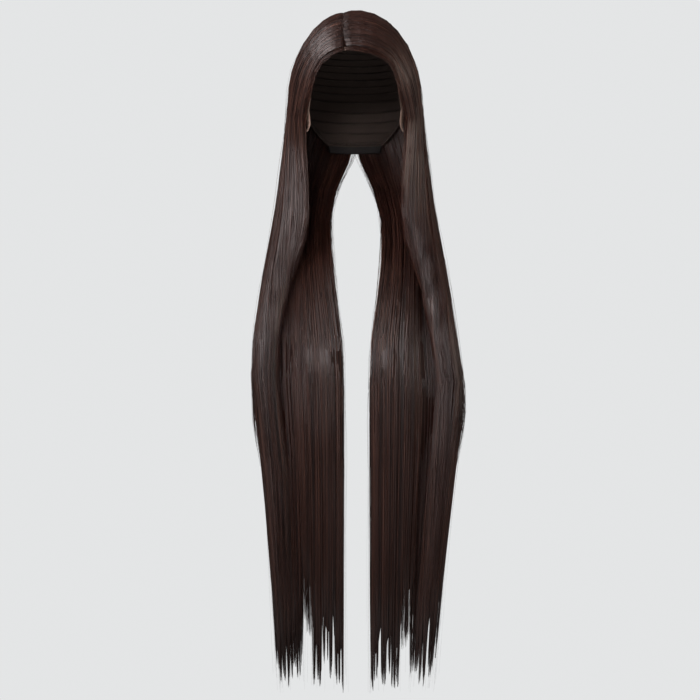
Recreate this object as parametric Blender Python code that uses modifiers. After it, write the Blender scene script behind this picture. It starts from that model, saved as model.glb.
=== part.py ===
"""Long straight lace front wig, at its real size, in metres with +Z up.

The wearer faces -Y. The origin is the inside of the crown, where the cap sits on the head.
A net cap carries a lace strip along the hairline, an ear tab on each side and an elastic
nape band. The hair is four sections that are parted over the crown, fall past the ears and
lie in front of the shoulders, each one a closed body of locks with pointed ends.
"""

import math
from collections import namedtuple

import bmesh
import bpy
import numpy as np

# Head that the cap fits, inside measures.
HEAD_HALF_WIDTH = 0.077
HEAD_HALF_DEPTH = 0.097
CROWN_RISE = 0.105  # crown down to the widest level
NAPE_TAPER = 0.160  # how slowly the head narrows below that level

# Cap, lace and band.
CAP_WALL = 0.0012
LACE_WALL = 0.0010
SEAM_GAP = 0.0006  # clearance between sewn layers
LACE_DEPTH = 0.030  # lace strip, hairline to its sewn edge
LACE_OVERLAP = 0.008  # how far the lace lies over the cap
LACE_MARGIN = 0.003  # bare lace in front of the first hairs
TAB_WIDTH = 0.014
TAB_LENGTH = 0.030
TAB_TUCK = 0.004  # how much of the tab lies behind the lowest lace
TAB_FLARE = 0.005  # the free end stands off the cheek by this much
TAB_FLARE_FROM = 0.60  # share of the tab's length where it starts to stand off
TAB_ROUND_FROM = 0.35  # and where its sides start to draw in
TAB_END_WIDTH = 0.245  # width of its end as a share of TAB_WIDTH
NAPE_BAND_HEIGHT = 0.012
NAPE_BAND_WALL = 0.0016

# Hair.
HAIR_DROP = 0.956  # crown to the longest tip
HAIR_HALF_SPREAD = 0.132  # inside of the widest section, at the bust
CHEST_REACH = 0.132  # how far in front of the head's middle the hair hangs
HAIR_LIFT = 0.0013  # clearance between hair and what it grows from
CROWN_VOLUME = 0.0095  # thickness of the hair over the cap
ROOT_VOLUME = 0.0080  # thickness along the parting
CURTAIN_VOLUME = 0.0170  # thickness of a section in front of the chest
PART_OFFSET = 0.0145  # the parting lies this far towards -X
PART_GAP = 0.0008  # between the hair of the two sides along the parting
SECTION_GAP = 0.0036  # between the front and the back section of one side
RIGHT_INNER_SHIFT = 0.005  # the right curtain hangs this much further out
CLEFT_DEPTH = 0.120  # how far up the slits between the ends reach
COLUMNS_PER_LOCK = 4
CROWN_ROWS_PER_STATION = 3
FALL_ROWS = 12

# Rim of the cap as the angle down from the crown, at angles round from the face.
RIM_ROUND = (0, 13, 25, 36, 45, 49, 52, 55, 60, 66, 73, 84, 95, 108, 124, 145, 180)
RIM_DOWN = (60.5, 61.5, 64, 68.5, 78, 85, 92, 97, 101.5, 104, 105, 104, 96, 97, 107, 116, 116)
LACE_END_DEG = 82  # the lace strip reaches this far round
LACE_NARROWS_DEG = 66  # and gets narrower from here
LACE_SHALLOW_SHARE = 0.42  # to this share of LACE_DEPTH
TAB_TURN_DEG = 64  # middle of the ear tab
NET_STANDS_BACK_DEG = (74, 90)  # the net's own rim leaves the lace's edge between these angles
NAPE_BAND_START_DEG = 146  # the band starts here, where the rim is level

# Grids of points, as (rows, columns).
NET_GRID = (8, 40)
LACE_GRID = (4, 37)
TAB_GRID = (7, 5)
BAND_GRID = (3, 15)

# Hair over the crown: (down, round) in degrees for the front edge, middle and rear edge,
# and the thickness as a share of CROWN_VOLUME. The back section starts where the front ends.
Over = namedtuple("Over", "name edge middle rear body")
FRONT_CROWN = (
    Over("brow", edge=(69, 37), middle=(36, 54), rear=(34, 118), body=1.00),
    Over("temple", edge=(81, 47), middle=(66, 74), rear=(60, 110), body=1.10),
    Over("cheek", edge=(93, 53.5), middle=(86, 80), rear=(83, 107), body=1.45),
    Over("ear", edge=(103, 66), middle=(103, 86), rear=(102, 106), body=1.60),
)
BACK_CROWN = (
    Over("crown", edge=None, middle=(44, 150), rear=(48, 179.5), body=1.00),
    Over("hind_head", edge=None, middle=(68, 147), rear=(72, 179.5), body=1.10),
    Over("behind_ear", edge=None, middle=(89, 145), rear=(94, 179.5), body=1.25),
    Over("nape", edge=None, middle=(107, 145), rear=(114, 179.5), body=1.30),
)
# Where each section springs from the parting, as an angle forward of the crown.
FRONT_ROOTS = (59.5, 22, -18)
BACK_ROOTS = (-21, -26, -31)

# Hair below the head, as shares: drop of HAIR_DROP, out of HAIR_HALF_SPREAD, ahead of
# CHEST_REACH, body of CURTAIN_VOLUME. Each point is (out, ahead).
Below = namedtuple("Below", "name drop edge middle rear body")
FRONT_FALL = (
    Below("jaw", drop=0.209, edge=(0.53, 0.30), middle=(0.67, 0.06), rear=(0.67, -0.20), body=0.92),
    Below("neck", drop=0.272, edge=(0.50, 0.37), middle=(0.71, 0.13), rear=(0.71, -0.15), body=0.86),
    Below("collar", drop=0.335, edge=(0.53, 0.47), middle=(0.785, 0.29), rear=(0.795, -0.01), body=0.82),
    Below("chest", drop=0.408, edge=(0.71, 0.68), middle=(0.88, 0.51), rear=(0.89, 0.25), body=0.82),
    Below("bust", drop=0.492, edge=(0.82, 0.85), middle=(0.96, 0.71), rear=(0.97, 0.45), body=0.82),
    Below("ribs", drop=0.586, edge=(0.79, 0.96), middle=(0.985, 0.80), rear=(1.00, 0.56), body=0.76),
    Below("waist", drop=0.732, edge=(0.66, 1.00), middle=(0.86, 0.88), rear=(0.88, 0.67), body=0.65),
    Below("ends", drop=1.000, edge=(0.56, 0.955), middle=(0.76, 0.885), rear=(0.78, 0.75), body=0.22),
)
BACK_FALL = (
    Below("jaw", drop=0.209, edge=None, middle=(0.46, -0.50), rear=(0.075, -0.61), body=0.74),
    Below("neck", drop=0.272, edge=None, middle=(0.55, -0.35), rear=(0.28, -0.27), body=0.82),
    Below("collar", drop=0.335, edge=None, middle=(0.58, 0.10), rear=(0.27, 0.24), body=0.94),
    Below("chest", drop=0.408, edge=None, middle=(0.56, 0.58), rear=(0.22, 0.67), body=1.00),
    Below("bust", drop=0.492, edge=None, middle=(0.53, 0.88), rear=(0.136, 0.90), body=1.00),
    Below("ribs", drop=0.586, edge=None, middle=(0.515, 0.965), rear=(0.118, 0.97), body=0.94),
    Below("waist", drop=0.732, edge=None, middle=(0.485, 0.96), rear=(0.118, 0.985), body=0.82),
    Below("ends", drop=1.000, edge=None, middle=(0.455, 0.93), rear=(0.114, 0.97), body=0.24),
)
INNER_SHIFT_FROM = 0.335  # the drop share from which the right curtain hangs further out
# Outer hair leans towards +X by so much, at these drops.
LEAN_DROP = (0.50, 0.60, 0.74, 1.00)
LEAN = (0.0, 0.006, 0.0045, 0.0)

# How much shorter than HAIR_DROP each lock ends, as shares of it, from the edge to the rear.
LOCK_TRIMS = {
    ("front", -1): (0.020, 0.000, 0.022, 0.050, 0.110),
    ("front", 1): (0.035, 0.012, 0.020, 0.060, 0.130),
    ("back", -1): (0.075, 0.030, 0.085, 0.010, 0.030, 0.000),
    ("back", 1): (0.100, 0.030, 0.075, 0.006, 0.012, 0.000),
}
CROWN_FURROW = 0.16  # depth of the furrows between locks, as a share of the thickness
CURTAIN_FURROW = 0.50
FURROWS_FULL_AT = 0.625  # share of the way down where the furrows are at their deepest
EDGE_SHARE = 0.12  # thickness left at a section's edge, before its square root is taken
TIP_SHARE = 0.16  # thickness left at a lock's end
TIP_REACH = 0.42  # a lock thins out over this many rows of the table
UNEVEN_ROWS = 2  # the locks differ in length over the last rows of the table only

HAIR_COLOUR = (0.030, 0.017, 0.013, 1.0)
CAP_COLOUR = (0.035, 0.022, 0.018, 1.0)
LACE_COLOUR = (0.52, 0.36, 0.27, 1.0)
BAND_COLOUR = (0.020, 0.016, 0.015, 1.0)


def make_material(name, colour, roughness):
    material = bpy.data.materials.new(name)
    material.use_nodes = True
    shader = material.node_tree.nodes["Principled BSDF"]
    shader.inputs["Base Color"].default_value = colour
    shader.inputs["Roughness"].default_value = roughness
    shader.inputs["Metallic"].default_value = 0.0
    return material


def on_head(direction, lift):
    """The point of the head in this direction from its middle, moved out by lift."""
    x, y, z = direction / np.linalg.norm(direction)
    height = CROWN_RISE + lift if z > 0 else NAPE_TAPER + lift
    return np.array(((HEAD_HALF_WIDTH + lift) * x, (HEAD_HALF_DEPTH + lift) * y, height * z - CROWN_RISE))


def towards(down, round_from_face):
    """Unit direction from two angles in degrees: down from the crown, round from the face."""
    polar, turn = math.radians(down), math.radians(round_from_face)
    return np.array((math.sin(polar) * math.sin(turn), -math.sin(polar) * math.cos(turn), math.cos(polar)))


def rim_down(round_from_face):
    return float(np.interp(abs(round_from_face), RIM_ROUND, RIM_DOWN))


def degrees_of(length):
    """A length along the head's side, as an angle down from the crown."""
    return math.degrees(length / CROWN_RISE)


def add_shell(name, cage, wall, material):
    """An object from the open cage, whose Solidify wall follows the weights in group body."""
    mesh = bpy.data.meshes.new(name)
    cage.to_mesh(mesh)
    cage.free()
    mesh.materials.append(material)
    mesh.shade_smooth()
    shell = bpy.data.objects.new(name, mesh)
    bpy.context.scene.collection.children["lace_front_wig"].objects.link(shell)
    shell.vertex_groups.new(name="body")
    solid = shell.modifiers.new("wall", "SOLIDIFY")
    solid.thickness = wall
    solid.offset = 1.0
    solid.vertex_group = "body"
    return shell


def add_sheet(name, grid, shape, wall, material, mirrored=False):
    """A flat grid bent to shape(down, across), both from 0 to 1, which also gives the wall's share."""
    rows, columns = grid
    cage = bmesh.new()
    weight = cage.verts.layers.deform.verify()
    bmesh.ops.create_grid(cage, x_segments=rows - 1, y_segments=columns - 1, size=0.5)
    for vertex in cage.verts:
        down = round((vertex.co.x + 0.5) * (rows - 1)) / (rows - 1)
        across = round((vertex.co.y + 0.5) * (columns - 1)) / (columns - 1)
        vertex.co, vertex[weight][0] = shape(down, across)
    if mirrored:
        bmesh.ops.reverse_faces(cage, faces=cage.faces)
    return add_shell(name, cage, wall, material)


def build_net(material):
    """The cap: half a ball bent to the head, whose rim stops under the lace along the face."""
    rows, columns = NET_GRID
    bare = degrees_of(LACE_DEPTH - LACE_OVERLAP)
    cage = bmesh.new()
    weight = cage.verts.layers.deform.verify()
    bmesh.ops.create_uvsphere(cage, u_segments=columns, v_segments=2 * rows, radius=1.0)
    lower = [vertex for vertex in cage.verts if vertex.co.z < -0.5 / rows]
    bmesh.ops.delete(cage, geom=lower, context="VERTS")
    for vertex in cage.verts:
        share = math.acos(min(vertex.co.z, 1.0)) / (math.pi / 2)
        turn = math.degrees(math.atan2(vertex.co.x, -vertex.co.y))
        rim = rim_down(turn) - bare * float(np.interp(abs(turn), NET_STANDS_BACK_DEG, (1, 0)))
        vertex.co = on_head(towards(rim * share, turn), 0.0)
        vertex[weight][0] = 1.0
    return add_shell("cap_net", cage, CAP_WALL, material)


def build_lace(material):
    depth, margin = degrees_of(LACE_DEPTH), degrees_of(LACE_MARGIN)

    def shape(down, across):
        turn = LACE_END_DEG * (2 * across - 1)
        kept = float(np.interp(abs(turn), (LACE_NARROWS_DEG, LACE_END_DEG), (1, LACE_SHALLOW_SHARE)))
        sewn, hairline = rim_down(turn) - depth * kept, rim_down(turn) + margin
        return on_head(towards(sewn + (hairline - sewn) * down, turn), CAP_WALL + SEAM_GAP), 1.0

    return add_sheet("lace_front", LACE_GRID, shape, LACE_WALL, material)


def build_ear_tab(side, material):
    """A lace tab with a round end, sewn under the lace strip in front of the ear."""
    half = math.degrees(TAB_WIDTH / 2 / HEAD_HALF_DEPTH)
    start = rim_down(TAB_TURN_DEG) - degrees_of(TAB_TUCK)
    length = math.degrees(TAB_LENGTH / NAPE_TAPER)

    def shape(down, across):
        drawn_in = max(down - TAB_ROUND_FROM, 0.0) / (1 - TAB_ROUND_FROM)
        width = half * max(math.sqrt(1.0 - drawn_in**2), TAB_END_WIDTH)
        flare = TAB_FLARE * (max(down - TAB_FLARE_FROM, 0.0) / (1 - TAB_FLARE_FROM)) ** 2
        x, y, z = on_head(towards(start + length * down, TAB_TURN_DEG + width * (2 * across - 1)), flare)
        return (x * side, y, z), 1.0

    name = "ear_tab_left" if side < 0 else "ear_tab_right"
    return add_sheet(name, TAB_GRID, shape, LACE_WALL, material, mirrored=side < 0)


def build_nape_band(material):
    top = rim_down(180) + math.degrees(SEAM_GAP / NAPE_TAPER)
    height = math.degrees(NAPE_BAND_HEIGHT / NAPE_TAPER)

    def shape(down, across):
        turn = 180 + (180 - NAPE_BAND_START_DEG) * (2 * across - 1)
        return on_head(towards(top + height * down, turn), 0.0), 1.0

    return add_sheet("nape_band", BAND_GRID, shape, NAPE_BAND_WALL, material)


def through_three(first, second, third, share):
    """Smooth curve through three points at shares 0, a half and 1."""
    return (
        first * (2 * share - 1) * (share - 1)
        + second * 4 * share * (1 - share)
        + third * share * (2 * share - 1)
    )


def along(points, place):
    """Catmull-Rom curve through the points, read at a place counted in points."""
    last = len(points) - 1
    index = min(int(place), last - 1)
    part = place - index
    before, here = points[max(index - 1, 0)], points[index]
    after, beyond = points[index + 1], points[min(index + 2, last)]
    return 0.5 * (
        2 * here
        + (after - before) * part
        + (2 * before - 5 * here + 4 * after - beyond) * part**2
        + (3 * here - before - 3 * after + beyond) * part**3
    )


def root_direction(side, forward):
    """Direction of the parting at an angle forward of the crown, for the hair of one side."""
    across = (PART_OFFSET * -side + PART_GAP / 2) / HEAD_HALF_WIDTH
    rest = math.sqrt(1 - across**2)
    angle = math.radians(forward)
    return np.array((across, -math.sin(angle) * rest, math.cos(angle) * rest))


class Section:
    """One section of hair: where any point of its inner face lies, and how thick it is there."""

    def __init__(self, side, kind):
        self.side, self.kind = side, kind
        front = kind == "front"
        self.crown = FRONT_CROWN if front else BACK_CROWN
        self.fall = FRONT_FALL if front else BACK_FALL
        self.roots = FRONT_ROOTS if front else BACK_ROOTS
        self.trims = LOCK_TRIMS[kind, side]
        self.lift = CAP_WALL + HAIR_LIFT + (SEAM_GAP + LACE_WALL if front else 0.0)
        self.last = len(self.crown) + len(self.fall)

    def rows(self):
        """Places of the rows of points, closer together over the round crown."""
        leaves = len(self.crown)
        crown = np.linspace(0, leaves, CROWN_ROWS_PER_STATION * leaves, endpoint=False)
        return [*crown, *np.linspace(leaves, self.last, FALL_ROWS)]

    def crown_edge(self, index):
        """Direction of the front edge: its own, or just behind the front section."""
        if self.kind == "front":
            return towards(*self.crown[index].edge)
        down, turn = FRONT_CROWN[index].rear
        return towards(down, turn + math.degrees(SECTION_GAP / HEAD_HALF_WIDTH))

    def fall_edge(self, index):
        """The same below the head, as shares out and ahead."""
        if self.kind == "front":
            return np.array(self.fall[index].edge)
        out, ahead = FRONT_FALL[index].rear
        return np.array((out, ahead - SECTION_GAP / CHEST_REACH))

    def crown_directions(self, across):
        roots = [root_direction(self.side, forward) for forward in self.roots]
        directions = [through_three(*roots, across)]
        for index, row in enumerate(self.crown):
            middle, rear = towards(*row.middle), towards(*row.rear)
            directions.append(through_three(self.crown_edge(index), middle, rear, across))
        return [direction / np.linalg.norm(direction) for direction in directions]

    def fall_points(self, across):
        points = []
        for index, row in enumerate(self.fall):
            middle, rear = np.array(row.middle), np.array(row.rear)
            out, ahead = through_three(self.fall_edge(index), middle, rear, across)
            free = 1.0 if self.kind == "front" else 1.0 - across
            x = out * HAIR_HALF_SPREAD + self.side * free * float(np.interp(row.drop, LEAN_DROP, LEAN))
            if self.side > 0 and self.kind == "back" and row.drop >= INNER_SHIFT_FROM:
                x += RIGHT_INNER_SHIFT * across
            points.append(np.array((x, -ahead * CHEST_REACH, -row.drop * HAIR_DROP)))
        return points

    def inner_point(self, across, place):
        """Point of the inner face, place 0 at the parting and self.last at the tip."""
        directions = self.crown_directions(across)
        leaves = len(directions) - 1
        if place <= leaves:
            point = on_head(along(directions, place), self.lift)
        else:
            points = [on_head(direction, self.lift) for direction in directions]
            point = along(points + self.fall_points(across), place)
        return np.array((point[0] * self.side, point[1], point[2]))

    def body(self, place):
        """Thickness before the furrows are cut."""
        bodies = [ROOT_VOLUME]
        bodies += [row.body * CROWN_VOLUME for row in self.crown]
        bodies += [row.body * CURTAIN_VOLUME for row in self.fall]
        return float(np.interp(place, range(len(bodies)), bodies))

    def end_place(self, across):
        """Where a column of the section ends: far down in a lock's middle, higher in a cleft."""
        count = len(self.trims)
        lock = min(int(across * count), count - 1)
        to_border = abs(2 * (across * count - lock) - 1)
        trim = self.trims[lock]
        border = round(across * count)
        if 0 < border < count and math.isclose(border, across * count):
            trim = max(self.trims[border - 1], self.trims[border])
        short = trim * HAIR_DROP + CLEFT_DEPTH * to_border
        return self.last - short / ((self.fall[-1].drop - self.fall[-2].drop) * HAIR_DROP)

    def thickness(self, across, place, end):
        count = len(self.trims)
        ridge = abs(math.sin(math.pi * count * across))
        grown = min(place / self.last / FURROWS_FULL_AT, 1.0)
        furrow = CROWN_FURROW + (CURTAIN_FURROW - CROWN_FURROW) * grown
        roundness = math.sqrt(min(min(across, 1 - across) * count + EDGE_SHARE, 1.0))
        tip = TIP_SHARE + (1 - TIP_SHARE) * min((end - place) / TIP_REACH, 1.0)
        return self.body(place) * (1 - furrow * (1 - ridge)) * roundness * tip


def build_hair(side, kind, material):
    section = Section(side, kind)
    rows = section.rows()
    level = section.last - UNEVEN_ROWS

    def shape(down, across):
        row = rows[round(down * (len(rows) - 1))]
        end = section.end_place(across)
        place = min(row, level) + max(row - level, 0) * (end - level) / UNEVEN_ROWS
        return section.inner_point(across, place), section.thickness(across, place, end) / CURTAIN_VOLUME

    name = f"{kind}_hair_{'left' if side < 0 else 'right'}"
    grid = (len(rows), COLUMNS_PER_LOCK * len(section.trims) + 1)
    return add_sheet(name, grid, shape, CURTAIN_VOLUME, material, mirrored=side < 0)


def build_wig():
    for leftover in list(bpy.data.objects):
        bpy.data.objects.remove(leftover, do_unlink=True)
    bpy.context.scene.collection.children.link(bpy.data.collections.new("lace_front_wig"))
    hair = make_material("dark_brown_hair", HAIR_COLOUR, 0.42)
    lace = make_material("skin_tone_lace", LACE_COLOUR, 0.8)
    build_net(make_material("brown_cap_net", CAP_COLOUR, 0.85))
    build_lace(lace)
    build_nape_band(make_material("black_elastic", BAND_COLOUR, 0.75))
    for side in (-1, 1):
        build_ear_tab(side, lace)
        for kind in ("front", "back"):
            build_hair(side, kind, hair)


build_wig()
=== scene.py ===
"""Dresses a long straight lace front wig: hair, baby hairs, lace, net cap with its wefts and nape band.

Run as a script, it loads the solids, builds every piece in their place and sets up the stage.
"""

import math
from collections import namedtuple

import bpy
import numpy as np
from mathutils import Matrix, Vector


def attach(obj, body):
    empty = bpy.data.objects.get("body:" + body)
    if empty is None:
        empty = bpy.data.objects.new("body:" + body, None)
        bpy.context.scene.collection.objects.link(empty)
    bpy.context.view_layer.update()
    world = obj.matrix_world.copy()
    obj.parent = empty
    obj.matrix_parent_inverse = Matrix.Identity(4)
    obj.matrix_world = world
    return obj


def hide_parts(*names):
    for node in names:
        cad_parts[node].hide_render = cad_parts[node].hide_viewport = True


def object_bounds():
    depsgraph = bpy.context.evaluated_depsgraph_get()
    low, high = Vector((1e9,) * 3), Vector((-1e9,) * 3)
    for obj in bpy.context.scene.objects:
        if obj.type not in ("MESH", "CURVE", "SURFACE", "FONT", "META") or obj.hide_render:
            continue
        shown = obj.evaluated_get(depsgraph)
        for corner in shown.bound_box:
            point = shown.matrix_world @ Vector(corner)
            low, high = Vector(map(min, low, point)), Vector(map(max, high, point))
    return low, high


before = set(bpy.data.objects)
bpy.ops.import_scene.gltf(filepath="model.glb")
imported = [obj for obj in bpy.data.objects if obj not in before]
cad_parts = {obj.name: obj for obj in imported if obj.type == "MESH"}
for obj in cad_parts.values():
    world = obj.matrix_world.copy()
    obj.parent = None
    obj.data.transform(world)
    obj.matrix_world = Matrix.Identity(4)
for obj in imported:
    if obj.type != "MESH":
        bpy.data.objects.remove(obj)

bl_info = {
    "name": "Long Straight Wig",
    "version": (1, 0, 0),
    "blender": (4, 5, 0),
    "location": "3D View > Sidebar > Wig",
    "description": "Builds the hair, lace, cap and band of a long straight lace front wig",
    "category": "Add Mesh",
}

CAD_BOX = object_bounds()
BODY = "root"
MAP = "OFBake"  # the map that every pattern along a hair or a thread reads

# Head that the cap fits, as in the solids.
CAP_WALL = 0.0012
LACE_WALL = 0.0010
SEAM_GAP = 0.0006
HEAD_HALF_WIDTH = 0.077
HEAD_HALF_DEPTH = 0.097
CROWN_RISE = 0.105
NAPE_TAPER = 0.160

# Cap, lace and band.
LACE_DEPTH = 0.030
LACE_OVERLAP = 0.008
LACE_MARGIN = 0.003
TAB_WIDTH = 0.014
TAB_LENGTH = 0.030
TAB_TUCK = 0.004
TAB_FLARE = 0.005
TAB_FLARE_FROM = 0.60
TAB_ROUND_FROM = 0.35
TAB_END_WIDTH = 0.245
NAPE_BAND_HEIGHT = 0.012
NAPE_BAND_WALL = 0.0016
RIM_ROUND = (0, 13, 25, 36, 45, 49, 52, 55, 60, 66, 73, 84, 95, 108, 124, 145, 180)
RIM_DOWN = (60.5, 61.5, 64, 68.5, 78, 85, 92, 97, 101.5, 104, 105, 104, 96, 97, 107, 116, 116)
LACE_END_DEG = 82
LACE_NARROWS_DEG = 66
LACE_SHALLOW_SHARE = 0.42
TAB_TURN_DEG = 64
NET_STANDS_BACK_DEG = (74, 90)
NAPE_BAND_START_DEG = 146

# Hair.
HAIR_DROP = -CAD_BOX[0].z
HAIR_HALF_SPREAD = 0.132
CHEST_REACH = 0.132
HAIR_LIFT = 0.0013
CROWN_VOLUME = 0.0095
ROOT_VOLUME = 0.0080
CURTAIN_VOLUME = 0.0170
PART_OFFSET = 0.0145
PART_GAP = 0.0008
SECTION_GAP = 0.0036
RIGHT_INNER_SHIFT = 0.005
INNER_SHIFT_FROM = 0.335
LEAN_DROP = (0.50, 0.60, 0.74, 1.00)
LEAN = (0.0, 0.006, 0.0045, 0.0)

# Over the crown: (down, round) in degrees; the body is a share of CROWN_VOLUME.
Over = namedtuple("Over", "name edge middle rear body")
FRONT_CROWN = (
    Over("brow", edge=(69, 37), middle=(36, 54), rear=(34, 118), body=1.00),
    Over("temple", edge=(81, 47), middle=(66, 74), rear=(60, 110), body=1.10),
    Over("cheek", edge=(93, 53.5), middle=(86, 80), rear=(83, 107), body=1.45),
    Over("ear", edge=(103, 66), middle=(103, 86), rear=(102, 106), body=1.85),
)
BACK_CROWN = (
    Over("crown", edge=None, middle=(44, 150), rear=(48, 179.5), body=1.00),
    Over("hind_head", edge=None, middle=(68, 147), rear=(72, 179.5), body=1.10),
    Over("behind_ear", edge=None, middle=(89, 145), rear=(94, 179.5), body=1.25),
    Over("nape", edge=None, middle=(107, 145), rear=(114, 179.5), body=1.30),
)
FRONT_ROOTS = (59.5, 22, -18)
BACK_ROOTS = (-21, -26, -31)

# Below the head, as shares of the driving lengths: drop, (out, ahead) and body.
Below = namedtuple("Below", "name drop edge middle rear body")
FRONT_FALL = (
    Below("jaw", drop=0.209, edge=(0.53, 0.30), middle=(0.67, 0.06), rear=(0.67, -0.20), body=0.92),
    Below("neck", drop=0.272, edge=(0.50, 0.37), middle=(0.71, 0.13), rear=(0.71, -0.15), body=0.86),
    Below("collar", drop=0.335, edge=(0.53, 0.47), middle=(0.785, 0.29), rear=(0.795, -0.01), body=0.82),
    Below("chest", drop=0.408, edge=(0.71, 0.68), middle=(0.88, 0.51), rear=(0.89, 0.25), body=0.82),
    Below("bust", drop=0.492, edge=(0.82, 0.85), middle=(0.96, 0.71), rear=(0.97, 0.45), body=0.82),
    Below("ribs", drop=0.586, edge=(0.79, 0.96), middle=(0.985, 0.80), rear=(1.00, 0.56), body=0.76),
    Below("waist", drop=0.732, edge=(0.66, 1.00), middle=(0.86, 0.88), rear=(0.88, 0.67), body=0.65),
    Below("ends", drop=1.000, edge=(0.56, 0.955), middle=(0.76, 0.885), rear=(0.78, 0.75), body=0.22),
)
BACK_FALL = (
    Below("jaw", drop=0.209, edge=None, middle=(0.46, -0.50), rear=(0.075, -0.61), body=0.74),
    Below("neck", drop=0.272, edge=None, middle=(0.55, -0.35), rear=(0.28, -0.27), body=0.82),
    Below("collar", drop=0.335, edge=None, middle=(0.58, 0.10), rear=(0.27, 0.24), body=0.94),
    Below("chest", drop=0.408, edge=None, middle=(0.56, 0.58), rear=(0.22, 0.67), body=1.00),
    Below("bust", drop=0.492, edge=None, middle=(0.53, 0.88), rear=(0.136, 0.90), body=1.00),
    Below("ribs", drop=0.586, edge=None, middle=(0.515, 0.965), rear=(0.118, 0.97), body=0.94),
    Below("waist", drop=0.732, edge=None, middle=(0.485, 0.96), rear=(0.118, 0.985), body=0.82),
    Below("ends", drop=1.000, edge=None, middle=(0.455, 0.93), rear=(0.114, 0.97), body=0.24),
)
# How much shorter than HAIR_DROP each lock ends, as shares of it, from the edge to the rear.
LOCK_TRIMS = {
    ("front", -1): (0.020, 0.000, 0.022, 0.050, 0.110),
    ("front", 1): (0.035, 0.012, 0.020, 0.060, 0.130),
    ("back", -1): (0.075, 0.030, 0.085, 0.010, 0.030, 0.000),
    ("back", 1): (0.100, 0.030, 0.075, 0.006, 0.012, 0.000),
}
LOCK_SWELL = 0.16  # how much the hair is thinner between two locks


def on_head(direction, lift):
    """The point of the head in this direction from its middle, moved out by lift."""
    x, y, z = direction / np.linalg.norm(direction)
    height = CROWN_RISE + lift if z > 0 else NAPE_TAPER + lift
    return np.array(((HEAD_HALF_WIDTH + lift) * x, (HEAD_HALF_DEPTH + lift) * y, height * z - CROWN_RISE))


def towards(down, round_from_face):
    """Unit direction from two angles in degrees: down from the crown, round from the face."""
    polar, turn = math.radians(down), math.radians(round_from_face)
    return np.array((math.sin(polar) * math.sin(turn), -math.sin(polar) * math.cos(turn), math.cos(polar)))


def rim_down(round_from_face):
    return float(np.interp(abs(round_from_face), RIM_ROUND, RIM_DOWN))


def degrees_of(length):
    return math.degrees(length / CROWN_RISE)


def through_three(first, second, third, share):
    return (
        first * (2 * share - 1) * (share - 1)
        + second * 4 * share * (1 - share)
        + third * share * (2 * share - 1)
    )


def along(points, place):
    """Catmull-Rom curve through the points, read at a place counted in points."""
    last = len(points) - 1
    index = min(int(place), last - 1)
    part = place - index
    before, here = points[max(index - 1, 0)], points[index]
    after, beyond = points[index + 1], points[min(index + 2, last)]
    return 0.5 * (
        2 * here
        + (after - before) * part
        + (2 * before - 5 * here + 4 * after - beyond) * part**2
        + (3 * here - before - 3 * after + beyond) * part**3
    )


def root_direction(side, forward):
    across = (PART_OFFSET * -side + PART_GAP / 2) / HEAD_HALF_WIDTH
    rest = math.sqrt(1 - across**2)
    angle = math.radians(forward)
    return np.array((across, -math.sin(angle) * rest, math.cos(angle) * rest))


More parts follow.
